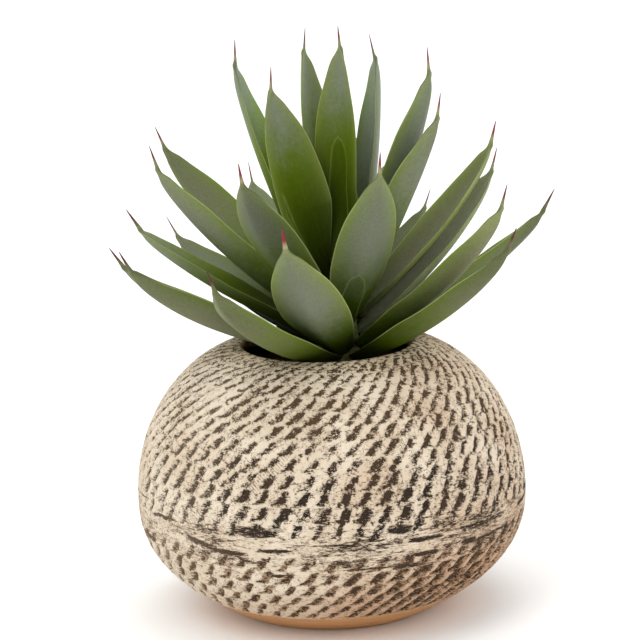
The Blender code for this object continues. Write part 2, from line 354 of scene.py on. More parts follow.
def makePot(material):
    # the wall turned round the axis: outerWall's radius less the depth of the strokes, of faint turning rings
    # and of a slow unevenness; the underside, the round lip and the inside are plain rings
    rng = np.random.default_rng(pot["seed"])
    angle = np.linspace(0, 2 * np.pi, pot["around"], endpoint=False)[None, :]
    degrees = np.degrees(angle) - 270  # from the front, growing to the right
    degrees = (degrees + 180) % 360 - 180
    # the same measure without a jump at the back: it falls to zero again behind
    folded = np.where(np.abs(degrees) > 90, np.sign(degrees) * (180 - np.abs(degrees)), degrees)
    wallR, wallZ, climb = outerWall()
    climb = climb[:, None]
    # upper strokes are thinner on the left and have a fine line under them at the sides; lower ones are thin
    # and pale on the left, thick and dark on the right
    thin = 1 - 0.22 * smoothStep(-folded, 30, 55)
    lined = smoothStep(np.abs(folded), 35, 60) * smoothStep(climb, 92, 104)
    upper = strokeField(degrees, climb, pot["upperRows"], thin, lined, rng)
    onRight = smoothStep(folded, -5, 35)
    lower = strokeField(degrees, climb, pot["lowerRows"], 0.72 + 0.43 * onRight, 0.0, rng)
    lower = lower + (0.5 * onRight - 0.25) * (lower > pot["noMark"])
    blots = blotField(degrees, climb, rng)
    worn = wornField(degrees, climb, rng)
    mark = np.maximum(upper, lower) + washField(degrees, climb) - worn
    # pressed strokes sink below the wall; the bars between them stay at the wall's own radius
    nearMouth = smoothStep(climb, climb.max() - 9, climb.max() - 3)
    faint = 0.35 + 0.65 * smoothStep(climb, 79.0, 86.0)
    sunk = smoothStep(upper, *pot["sinks"]) * faint * (1 - 0.6 * nearMouth) * pot["upperRows"]["depth"]
    faint = (1 - 0.7 * smoothStep(climb, 56.0, 62.0)) * (0.8 + 0.4 * smoothStep(folded, 0, 35))
    sunk = sunk + smoothStep(lower, *pot["sinks"]) * faint * pot["lowerRows"]["depth"]
    thrown = 0.5 + 0.5 * np.sin(climb / 2.9 + 0.6 * np.sin(2 * angle))  # faint turning rings
    uneven = 1 + np.sin(3 * angle + climb / 31) * np.sin(climb / 17 + 2 * angle)
    sunk = sunk + pot["turningRings"] * thrown + pot["uneven"] * uneven
    before = np.array([(pot["footRadius"] * share, 0.0) for share in (0.3, 0.7, 0.985)])
    lipTurn = np.linspace(0.2, np.pi / 2, 6)
    lipR = pot["mouthRadius"] + pot["lipRound"] * (1 - np.sin(lipTurn))
    lipZ = pot["height"] - pot["lipRound"] * (1 - np.cos(lipTurn))
    inside = insideWall(pot["height"] - pot["lipDepth"], 0.0, 8)
    after = np.concatenate([np.stack([lipR, lipZ], axis=-1), inside, [(0.02, pot["floor"])]])
    ones = np.ones_like(angle)
    radius = np.concatenate([before[:, :1] * ones, wallR[:, None] - sunk, after[:, :1] * ones])
    height = np.concatenate([before[:, 1:] * ones, wallZ[:, None] * ones, after[:, 1:] * ones])
    grid = np.stack([radius * np.cos(angle), radius * np.sin(angle), height], axis=-1)
    piece = closedTube("earthen_pot", grid, material, (0, 0, 0), (0, 0, pot["floor"]))
    # the outer wall's values, with one value for the rings under it and one for the lip and the inside
    for name, values, below, above in (("mark", mark, -3, -3), ("blot", blots, -3, -3),
                                       ("front", folded, 0, 0), ("climb", climb, -5, 175)):
        full = np.full(radius.shape, float(above))
        full[:len(before)] = below
        full[len(before):len(before) + len(wallR)] = values
        addAttribute(piece, name, full, (below, above))
    return piece


def potMaterial():
    g = Graph("brushedEarthenware")
    tone = paints(pot["colors"])
    spot = g.position()
    climb, mark, blot, front = (g.attribute(name) for name in ("climb", "mark", "blot", "front"))
    fine = g.swing(g.stretch(spot, (1.0, 1.0, 2.4)), 800, 4, 0.85)
    middle = g.swing(spot, 430, 3, 0.65)
    broad = g.noise(spot, 40, 3, 0.55)
    # ragged edges; the dark rows just above the band are firmer inside
    firm = g.times(g.fade(climb, 79.0, 84.0), g.fade(climb, 106.0, 96.0))
    firm = g.times(firm, g.fade(g.away(front, 5.0), 45.0, 20.0))
    edge = g.timesPlus(fine, 10.0, g.times(middle, 8.0))
    streakSpot = g.stretch(spot, (1.0, 1.0, 6.0))
    grain = g.swing(streakSpot, 330, 3, 0.7)
    solid = g.times(firm, g.fade(mark, 0.2, 1.0, 0.0, 0.5))
    solid = g.timesPlus(grain, g.fade(climb, 108.0, 92.0, 0.0, 6.0), solid)
    # dry brush: how well the dark wash took, patch by patch
    cover = g.timesPlus(broad, 1.6, -0.9)
    strokeInk = g.plus(g.plus(mark, edge), g.plus(cover, solid))
    # fine mottling round the mouth: partly real, partly painted shade under the leaves
    mottleAndLeafShade = g.timesPlus(fine, 6.0, g.fade(climb, 140.0, 160.0, -3.2, -0.8))
    mottleAndLeafShade = g.timesPlus(middle, 12.0, mottleAndLeafShade)
    strokeInk = g.math("MAXIMUM", strokeInk, mottleAndLeafShade)
    # a slanted patch of faint comb ticks in front, to the left
    comb = g.math("SINE", g.times(g.timesPlus(climb, 0.77, front), 5.0))
    crossing = g.away(g.timesPlus(front, 1.2, g.times(climb, -0.64)), -91.0)
    combed = g.times(g.fade(crossing, 4.5, 2.0), g.fade(g.away(climb, 104.0), 17.0, 11.0))
    combInk = g.timesPlus(edge, 0.35, g.fade(combed, 0.0, 1.0, -3.0, -0.9))
    combInk = g.timesPlus(comb, 0.9, combInk)
    strokeInk = g.math("MAXIMUM", strokeInk, combInk)
    # streaks drawn round the pot by a brush in the plain band at the widest part
    streak = g.swing(streakSpot, 75, 5, 0.7)
    scratch = g.timesPlus(grain, 4.2, g.times(fine, 3.0))
    scratch = g.timesPlus(streak, 4.2, scratch)
    blotInk = g.plus(scratch, blot)
    inBand = g.plus(g.fade(climb, 52.0, 66.0, -1.3, 0.0), g.fade(climb, 87.0, 78.0, -1.6, 0.0))
    inBand = g.plus(inBand, g.fade(front, -45.0, 30.0, -0.25, 0.15))
    patches = g.timesPlus(g.swing(spot, 26, 2), 2.2, -0.45)
    streakInk = g.plus(g.plus(scratch, patches), inBand)
    ink = g.math("MAXIMUM", strokeInk, g.math("MAXIMUM", blotInk, streakInk))
    dark = g.fade(ink, 0.0, 0.3)
    fringe = g.fade(ink, -0.8, 0.05, 0.0, 0.6)
    # bare clay below the lowest row, with a ragged edge
    bare = g.fade(g.timesPlus(middle, 9.0, climb), 25.5, 23.5)
    # a pinkish-tan stain rising towards the bottom and the right: partly a real stain, partly painted shade
    # on the side away from the light; it is kept off the lit lower left
    stainAndShadePlace = g.plus(g.fade(climb, 78.0, 30.0, 0.0, 0.5), g.fade(front, -50.0, 40.0, -0.25, 0.2))
    stainAndShadePlace = g.timesPlus(g.noise(spot, 20, 3), 0.9, stainAndShadePlace)
    flecks = g.fade(g.timesPlus(middle, 0.6, fine), 0.12, 0.24, 0.0, 0.6)
    # fine dark cracks here and there
    crack = g.away(g.noise(spot, 260, 3, 0.6), 0.5)
    crack = g.times(g.fade(crack, 0.022, 0.006), g.fade(g.noise(spot, 90, 2), 0.45, 0.6))
    # towards the mouth the slip and the ink take the mouth's colours: partly real, partly painted shade from
    # the leaves
    nearMouth = g.fade(climb, 150.0, 170.0, 0.0, 0.75)
    # painted shade: a tan on the flanks of the raised bars in the lower rows
    flankShade = g.fade(g.timesPlus(edge, 0.5, mark), -1.3, -0.2)
    flankShade = g.times(flankShade, g.fade(climb, 74.0, 62.0, 0.0, 0.8))
    slip = g.coats(
        tone["slip"],
        (g.fade(broad, 0.35, 0.65), tone["slipShade"]),
        (g.fade(stainAndShadePlace, 0.45, 1.15, 0.0, 0.95), tone["stainAndShade"]),
        (g.fade(middle, -0.05, 0.2, 0.0, 0.4), tone["tan"]),
        (g.times(crack, 0.75), tone["crack"]),
        (flecks, tone["fleck"]),
        (nearMouth, tone["mouthSlip"]),
        (flankShade, tone["flankShade"]),
    )
    inkColor = g.coats(
        tone["inkAbove"],
        (g.fade(climb, 135.0, 96.0), tone["ink"]),
        (g.fade(climb, 78.0, 66.0), tone["inkBelow"]),
        (g.fade(broad, 0.4, 0.7, 0.0, 0.45), tone["inkBrown"]),
        (g.fade(fine, 0.0, 0.25, 0.0, 0.5), tone["inkWorn"]),
        (g.fade(front, -22.0, -50.0, 0.0, 0.55), tone["inkLeft"]),
        (nearMouth, tone["mouthInk"]),
    )
    clay = g.mix(g.noise(g.stretch(spot, (1.0, 1.0, 9.0)), 70, 3), tone["clay"], tone["clayShade"])
    lip = g.fade(climb, 174.0, 175.0)
    color = g.coats(slip, (fringe, tone["fringe"]), (dark, inkColor), (bare, clay), (lip, tone["lip"]))
    relief = g.timesPlus(middle, 1.2, g.timesPlus(dark, -0.8, fine))
    normal = g.bump(relief, 0.0007, 1.0)
    return g.finish(color=color, roughness=g.fade(dark, 0.0, 1.0, 0.88, 0.8), normal=normal, specular=0.15)


potPiece = makePot(potMaterial())
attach(potPiece, "root")
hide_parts("pot")
print("pot made:", len(potPiece.data.polygons), "faces")


# Soil and stem

soil = {
    "top": 0.1125, "crown": 0.0015, "gap": 0.0003, "holeX": 0.007, "holeRadius": 0.0093, "holeBottom": 0.0747,
    "around": 220, "rings": 70, "seed": 5,
    "grain": 0.0006, "highestGrain": 0.0011,
    "crumbs": (26, 0.0016, 0.009), "clods": (8, 0.006, 0.02),  # how many waves, the shortest, the longest
    "smoothEdges": (0.06, 0.03),  # shares of the top beside the hole and beside the mouth
    "colors": {"bark": "55392a", "barkLight": "7d5b42", "wet": "3a281d", "fibre": "7d6248"},
}
stem = {
    "x": 0.007, "bottom": 0.075, "radius": 0.009, "taper": 0.1, "taperStart": 0.114, "around": 64,
    "bareTop": 0.1125, "scarred": (0.1135, 0.149, 70),  # where leaf scars start and end, and rings there
    "scarDepth": 0.0003, "scarRate": 1100, "scarLean": 1.5,
    "budTop": 0.174, "budKnots": ((0.150, 0.0013), (0.160, 0.0018), (0.167, 0.0012), (0.174, 0.00008)),
    "budRings": (0.1500, 0.1503, 0.153, 0.156, 0.160, 0.1635, 0.167, 0.170, 0.172, 0.1732, 0.1738),
    "budSeam": 0.12, "budTwist": 260,
    "colors": {"wood": "3a3a1c", "woodLight": "565a2c", "green": "3c5010", "greenLight": "566a20"},
}


def waves(x, y, rng, count, shortest, longest):
    # the sum of sin(2 pi * distance / length + phase) over many plane waves, over sqrt(count): about -1 to 1
    total = np.zeros(np.broadcast(x, y).shape)
    for length, heading, phase in zip(np.geomspace(shortest, longest, count),
                                      rng.uniform(0, 2 * np.pi, count), rng.uniform(0, 2 * np.pi, count)):
        reach = 2 * np.pi / length
        total += np.sin(reach * (x * np.cos(heading) + y * np.sin(heading)) + phase)
    return total / np.sqrt(count)


def makeSoil(material):
    # rings run up the hole for the stem, out over the top to the pot's mouth, and down the inside wall; the
    # top is crown * (1 - (distance / mouth)^2) with waves
    rng = np.random.default_rng(soil["seed"])
    angle = np.linspace(0, 2 * np.pi, soil["around"], endpoint=False)[None, :]
    mouth = pot["mouthRadius"] - soil["gap"]
    t = np.linspace(0, 1, soil["rings"])[:, None]
    middle = soil["holeX"] * (1 - t)
    radius = soil["holeRadius"] + (mouth - soil["holeRadius"]) * t
    x, y = middle + radius * np.cos(angle), radius * np.sin(angle)
    rough = waves(x, y, rng, *soil["crumbs"])
    rough = soil["grain"] * rough * (0.6 + 0.4 * waves(x, y, rng, *soil["clods"]))
    rough = np.clip(rough, -soil["highestGrain"], soil["highestGrain"])
    inner, outer = soil["smoothEdges"]
    rough = rough * np.clip(t / inner, 0, 1) * np.clip((1 - t) / outer, 0, 1)
    z = soil["top"] + soil["crown"] * (1 - (x**2 + y**2) / mouth**2) + rough
    top = np.stack([x, y, z], axis=-1)
    hole = top[:1].copy()
    hole[..., 2] = soil["holeBottom"]
    side = insideWall(soil["top"], soil["gap"], 6)
    radius, height = side[:, :1], side[:, 1:] * np.ones_like(angle)
    walls = np.stack([radius * np.cos(angle), radius * np.sin(angle), height], axis=-1)
    grid = np.concatenate([hole, top, walls])
    return closedTube("potting_soil", grid, material, (soil["holeX"], 0, soil["holeBottom"]),
                      (0, 0, pot["floor"] + soil["gap"]))


def soilMaterial():
    g = Graph("pottingSoil")
    tone = paints(soil["colors"])
    spot = g.position()
    crumbs = g.noise(spot, 700, 4, 0.7)
    clods = g.noise(spot, 160, 3, 0.6)
    fibre = g.fade(g.noise(g.stretch(spot, (1.0, 6.0, 1.0)), 420, 2), 0.68, 0.72)
    color = g.coats(
        tone["bark"],
        (g.fade(crumbs, 0.35, 0.65), tone["barkLight"]),
        (g.fade(clods, 0.5, 0.7, 0.0, 0.7), tone["wet"]),
        (g.times(fibre, 0.6), tone["fibre"]),
    )
    normal = g.bump(g.plus(crumbs, clods), 0.0008, 0.9)
    return g.finish(color=color, roughness=0.95, normal=normal, specular=0.2)


def makeStem(material):
    # a tapered stem with leaf scars, then the closed bud: radius against height, with ridges wound round it
    angle = np.linspace(0, 2 * np.pi, stem["around"], endpoint=False)[None, :]
    bare = np.linspace(stem["bottom"], stem["bareTop"], 4)
    heights = np.concatenate([bare, np.linspace(*stem["scarred"])])
    radius = stem["radius"] - stem["taper"] * np.clip(heights - stem["taperStart"], 0, None)
    above = heights[:, None] - stem["taperStart"]
    scars = stem["scarDepth"] * np.abs(np.sin(above * stem["scarRate"] + stem["scarLean"] * angle))
    stalk = radius[:, None] - scars * (heights[:, None] > stem["bareTop"])
    budHeights = np.array(stem["budRings"])
    budRadius = np.interp(budHeights, *zip(*stem["budKnots"]))
    wound = np.abs(np.sin(0.5 * angle - budHeights[:, None] * stem["budTwist"])) ** 0.5
    seam = 1 - stem["budSeam"] * (1 - wound)
    radii = np.concatenate([stalk, budRadius[:, None] * seam])
    z = np.concatenate([heights, budHeights])[:, None] * np.ones_like(angle)
    grid = np.stack([stem["x"] + radii * np.cos(angle), radii * np.sin(angle), z], axis=-1)
    lowest, apex = (stem["x"], 0, stem["bottom"]), (stem["x"], 0, stem["budTop"])
    return closedTube("short_stem", grid, material, lowest, apex)


def stemMaterial():
    g = Graph("woodyStem")
    tone = paints(stem["colors"])
    spot = g.position()
    height = g.add("ShaderNodeSeparateXYZ", {"Vector": spot}, "Z")
    fibre = g.noise(g.stretch(spot, (1.0, 1.0, 0.2)), 900, 3, 0.6)
    color = g.mix(g.fade(fibre, 0.35, 0.65), tone["wood"], tone["woodLight"])
    green = g.mix(g.noise(spot, 300, 2), tone["green"], tone["greenLight"])
    color = g.mix(g.fade(height, 0.122, 0.140), color, green)
    return g.finish(color=color, roughness=0.7, normal=g.bump(fibre, 0.0003, 0.7), specular=0.3)


for piece, node in ((makeSoil(soilMaterial()), "soil"), (makeStem(stemMaterial()), "stem")):
    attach(piece, "root")
    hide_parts(node)
print("soil and stem made")


# Leaves

leaf = {
    "thickness": 0.0031, "broadestAt": 0.45, "tipWidth": 0.07, "bowPower": 1.6, "tipHook": 14.0,
    "hookStart": 0.8, "sweepLead": 0.4, "turnedBy": 0.4, "lowestRoot": 0.118, "highestRoot": 0.150,
    "rootSpread": 1.5, "rootGap": 0.0007, "spineLength": 0.0105, "spineDrawn": 0.0098, "pathSteps": 60,
    "swellPower": 1.3, "taperPowers": (2.4, 0.85),
    "tipNarrower": 0.16, "tipTrim": 0.00098, "tipThinner": 0.5,
    "channelPower": 0.7, "channelFloor": 0.012, "backPower": 1.3, "edge": 0.00045, "edgePower": 14,
    "keelWidth": 0.10, "foldedKeel": 0.00035, "openKeel": 0.00012, "ripple": 0.00022, "ripples": 2.6,
    "neckPower": 1.6, "spineFlare": 1.15, "spineTaper": 0.8, "spineAside": 0.0002,
    "bladeStations": 84, "spineStations": 16, "halfAround": 22, "seed": 3,
    "colors": {
        # root and low: dark greens that are partly painted shade in the heart of the rosette
        "root": "101700", "low": "364602", "vivid": "5d730e", "blueGrey": "79807b", "oliveGrey": "716f4e",
        # the keel colour is a painted highlight along the keel of a folded leaf
        "fibre": "7e9436", "dust": "b0b8ad", "pressed": "283a07", "trace": "8f9d59", "keelHighlight": "959879",
        # margin and rim: the pale margin band and edge line, partly real and partly painted light and
        # highlight
        "margin": "8b984e", "rim": "a4ab79", "rimTip": "4e4935", "speck": "2f3620",
        "spineBase": "534831", "spineMiddle": "442e24", "spineTip": "2c1f1c",
        "redBase": "978f6e", "redMiddle": "7e262a", "redTip": "6e3434",
    },
}
# blade width in metres, the root's width as a share of it, and how far the margins rise
leafForms = {"open": (0.028, 0.22, 0.34), "folded": (0.028, 0.22, 0.45),
             "clasping": (0.028, 0.38, 0.3), "wide": (0.030, 0.5, 0.3)}
# skins: how far up the blade the grey bloom is half way and over how much of the blade it comes in, from
# blue-grey 0 to olive-grey 1, how light the bloom is, how light the green is, how pale the margins are
# the two lightness columns are painted light and shade: they make each leaf's bloom and green lighter or
# darker for how much light falls on it, and one skin is painted shade for leaves that lie in shade
leafSkins = {
    "plain": (0.5, 0.5, 0.5, 1.1, 1.0, 0.4),
    "dim": (0.5, 0.5, 0.9, 0.7, 1.2, 0.1),
    "dusk": (0.1, 0.6, 0.8, 0.9, 1.2, 0.1),
    "dusty": (0.4, 0.5, 0.9, 1.3, 1.1, 0.2),
    "silver": (0.0, 0.6, 0.7, 1.8, 1.3, 0.3),
    "blue": (0.3, 0.7, 0.2, 1.0, 1.1, 0.5),
    "pale": (0.35, 0.6, 0.1, 1.7, 1.6, 0.3),
    "smoky": (0.4, 0.45, 0.4, 0.85, 1.0, 0.6),
    "dark": (0.6, 0.4, 0.4, 0.65, 0.7, 0.4),
    "deep": (0.75, 0.4, 0.3, 1.2, 0.85, 0.7),
    "bright": (0.75, 0.4, 0.1, 1.4, 1.5, 0.2),
    "olive": (0.1, 0.6, 1.0, 0.8, 1.3, 0.8),
}
# spines: radius in mm, from brown 0 to crimson 1, and how blunt the end is
leafSpines = {"plain": (0.7, 0.5, 0.16), "brown": (0.8, 0.2, 0.16), "fine": (0.5, 0.4, 0.16),
              "red": (0.65, 0.8, 0.16), "crimson": (0.85, 0.9, 0.16), "bold": (1.0, 1.0, 0.4)}
# one leaf a row, from the lowest root up: its form, where its spine ends in mm to the right, to the back and
# up, then in degrees how far it bows up, its upper side turns and it sweeps round; last its skin, its spine
# and how much lighter its left half is painted than its right, seen from the stem, as painted light and shade
leafRows = (
    ("clasping", -50, -95, 180, 34, 0, 0, "dim", "brown", -0.2),
    ("clasping", 83, -72, 190, 26, 0, 0, "dim", "brown", 0.4),
    ("open", -100, 28, 167, 28, 5, 0, "dusk", "brown", 0),
    ("open", 4, 114, 159, 8, 0, 0, "plain", "plain", 0),
    ("open", -58, 80, 152, 12, 0, 0, "plain", "plain", 0),
    ("folded", 108, 33, 187, 22, -20, 0, "dim", "brown", 0.2),
    ("open", -91, -41, 179, 32, 20, 12, "dusk", "brown", -0.4),
    ("wide", -18, -95, 197, 26, 10, -5, "smoky", "bold", -0.1),
    ("open", 53, 98, 177, 6, -25, 0, "dim", "fine", -0.3),
    ("open", -75, 70, 173, 24, 0, 0, "plain", "fine", 0),
    ("folded", 80, -55, 206, 28, 10, -10, "dusty", "plain", -0.3),
    ("open", 5, 108, 186, 12, 0, 0, "plain", "plain", 0),
    ("folded", 82, 42, 206, 24, -5, 10, "silver", "red", -0.1),
    ("open", -89, -5, 191, 18, 0, 0, "deep", "brown", -0.2),
    ("open", -35, 88, 195, 18, 0, -15, "blue", "fine", 0),
    ("open", 37, 92, 204, 10, -10, 0, "plain", "red", 0),
    ("open", -36, -62, 220, 10, 5, 18, "dark", "crimson", -0.4),
    ("open", 25, -68, 224, 16, 5, -5, "smoky", "crimson", 0.2),
    ("folded", -77, -6, 220, 22, 15, 0, "plain", "plain", 0),
    ("open", -2, 78, 212, 10, 0, 0, "plain", "plain", 0),
    ("open", 81, 32, 220, 25, -5, 0, "olive", "crimson", -0.4),
    ("open", -78, 66, 217, 14, 0, -10, "dim", "plain", 0),
    ("open", 13, 68, 224, 8, 0, 0, "plain", "plain", 0),
    ("open", 53, -36, 244, 6, 5, 0, "plain", "red", 0),
    ("open", -37, 20, 263, 14, 10, 0, "bright", "red", -0.4),
    ("open", 23, 16, 264, 20, -30, 0, "pale", "fine", 0.4),
    ("open", -5, 32, 266, 22, 38, 0, "deep", "fine", 0.4),
    ("folded", 48, -18, 262, 16, 0, 0, "blue", "red", 0.1),
    ("open", -21, 5, 252, 4, -45, 0, "deep", "red", 0.2),
    ("open", 9, 9, 269, 14, -35, 0, "deep", "red", -0.1),
)
# bud leaves pressed their outline into some leaves: leaf number to the outline's top, across and along in mm,
# its half width and height in mm, and 1 where it lies on the underside
imprints = {30: (2, 68, 5, 26, 0), 18: (-2.5, 43, 4, 16, 1), 29: (9, 52, 1.2, 20, 0)}


def bladeHalf(s, width, neck):
    # half the blade's width: it swells from the neck by sin^swellPower, then tapers by (1 - x^outer)^inner
    rising = np.sin(np.pi / 2 * np.clip(s / leaf["broadestAt"], 0, 1))
    swell = neck + (1 - neck) * rising ** leaf["swellPower"]
    outer, inner = leaf["taperPowers"]
    x = np.clip((s - leaf["broadestAt"]) / (1 - leaf["broadestAt"]), 0, 1)
    taper = leaf["tipWidth"] + (1 - leaf["tipWidth"]) * (1 - x**outer) ** inner
    return width / 2 * np.where(s < leaf["broadestAt"], swell, taper)


def bladeClimb(s, bow):
    # how far the blade points above its lift, in radians: bow * s^bowPower, plus a hook at its end
    hook = leaf["tipHook"] * np.clip((s - leaf["hookStart"]) / (1 - leaf["hookStart"]), 0, 1) ** 2
    return np.radians(bow * s ** leaf["bowPower"] + hook)


def aimBlade(tip, rootHeight, bow, sweep):
    # the root, heading, lift and blade length that bring the end of the spine to its place: a bent blade with
    # its straight spine is drawn level, then scaled and lifted onto the line from the root to that place
    outX = tip[0] - stem["x"]
    heading = np.arctan2(tip[1], outX)
    reach = stem["radius"] - stem["taper"] * max(rootHeight - stem["taperStart"], 0) + leaf["rootGap"]
    root = np.array([stem["x"] + reach * np.cos(heading), reach * np.sin(heading), rootHeight])
    out = np.hypot(outX, tip[1]) - reach
    rise = tip[2] - rootHeight
    chord = np.hypot(out, rise)
    straight = chord - leaf["spineLength"]
    bend = bladeClimb(np.linspace(0, 1, leaf["pathSteps"] + 1), bow)
    endOut = straight * np.cos(bend).mean() + leaf["spineLength"] * np.cos(bend[-1])
    endRise = straight * np.sin(bend).mean() + leaf["spineLength"] * np.sin(bend[-1])
    length = straight * chord / np.hypot(endOut, endRise)
    lift = np.arctan2(rise, out) - np.arctan2(endRise, endOut)
    return root, heading - leaf["sweepLead"] * np.radians(sweep), lift, length


def bladeDirections(s, heading, lift, bow, sweep):
    # the blade climbs by its lift and bladeClimb, and turns round by sweep * s^bowPower
    up = lift + bladeClimb(s, bow)
    turn = heading + np.radians(sweep) * s ** leaf["bowPower"]
    along = np.stack([np.cos(up) * np.cos(turn), np.cos(up) * np.sin(turn), np.sin(up)], axis=-1)
    side = np.stack([-np.sin(turn), np.cos(turn), np.zeros_like(turn)], axis=-1)
    return along, side


def fleshAndHeartShade(s):
    # the green of the blade without bloom: smooth steps from the root's to the low one to the vivid one; the
    # near-black root and the dark low green are partly the real darker base and partly painted shade in the
    # heart of the rosette
    tone, low, vivid = (np.array(paint(leaf["colors"][name])[:3]) for name in ("root", "low", "vivid"))
    for color, start, stop in ((low, 0.0, 0.3), (vivid, 0.25, 0.7)):
        rise = smoothStep(s, start, stop)[:, None]
        tone = tone * (1 - rise) + color * rise
    return tone


def dressLeaf(piece, number, row, lengthMm, along, half, across, under):
    # what the material reads at each point: places in mm, bloom as (along - bloomMiddle) / bloomRun, and
    # tones as colour * painted lightness * (1 + painted left light * across), which on a folded leaf steps at
    # the keel
    form, *_, skinName, spineName, paintedLeftLight = row
    bloomMiddle, bloomRun, hue, waxPaintedLight, greenLight, marginLight = leafSkins[skinName]
    redness = leafSpines[spineName][1]
    ones = np.ones((len(along), len(across)))
    acrossMm = half[:, None] * across * 1000
    edgeMm = half[:, None] * (1 - np.abs(across)) * 1000
    distance = np.minimum(along, 1) * lengthMm + np.maximum(along - 1, 0) * leaf["spineDrawn"] * 1000
    apart = number * 37.0  # so that no two leaves share their noise
    skin = np.stack([acrossMm + 60 * under, distance[:, None] * ones, apart * ones], axis=-1)
    addAttribute(piece, "skin", skin, ((0, 0, apart), (0, lengthMm, apart)))
    facet = across
    if form == "folded":
        facet = np.sign(across) * smoothStep(np.abs(across), 0, 0.15)
    # painted light and shade: one half of the leaf lighter than the other
    paintedSideLight = (1 + paintedLeftLight * facet)[None, :, None]
    blueGrey, oliveGrey = (np.array(paint(leaf["colors"][name])[:3]) for name in ("blueGrey", "oliveGrey"))
    # painted light and shade: the bloom and the green of each leaf, lighter or darker for how much light
    # falls on it
    waxAndLight = (blueGrey * (1 - hue) + oliveGrey * hue) * waxPaintedLight * paintedSideLight * ones[..., None]
    waxAndLight = waxAndLight * (1 - 0.2 * smoothStep(along, 0.6, 1.0))[:, None, None]
    fleshAndLight = fleshAndHeartShade(along)[:, None] * greenLight * paintedSideLight * ones[..., None]
    for name, values in (("waxAndLight", waxAndLight), ("fleshAndLight", fleshAndLight)):
        addAttribute(piece, name, values, values[[0, -1], [0, 0]])
    bloom = np.clip((along - bloomMiddle) / bloomRun, -1.5, 1.5)
    margin = marginLight * smoothStep(along, 0.1, 0.5)
    # painted highlight: a pale line along the keel under a folded leaf
    keelHighlightMask = under * np.exp(-((across / 0.07) ** 2)) * (form == "folded")
    # imprint: mm from the outline of the bud leaf that once lay against this one, positive inside it
    press = -9 * ones
    if number in imprints:
        apexAcross, apexAlong, wide, high, face = imprints[number]
        beside, below = np.abs(acrossMm - apexAcross), (apexAlong - distance)[:, None]
        outline = wide * np.tanh(4 * np.clip(below, 0, None) / high)
        press = np.where(below > 0, (outline - beside) * 0.85, -np.hypot(beside, below))
        press = np.where(under == face, np.clip(press, -9, 9), -9)
    for name, values, ends in (("along", along[:, None], (0, 2)), ("edge", edgeMm, (5, 0)),
                               ("bloom", bloom[:, None], (-1.5, 1.5)), ("margin", margin[:, None], (0, 0)),
                               ("keelHighlight", keelHighlightMask, (0, 0)), ("redness", redness, (redness, redness)),
                               ("imprint", press, (-9, -9))):
        addAttribute(piece, name, values * ones, ends)


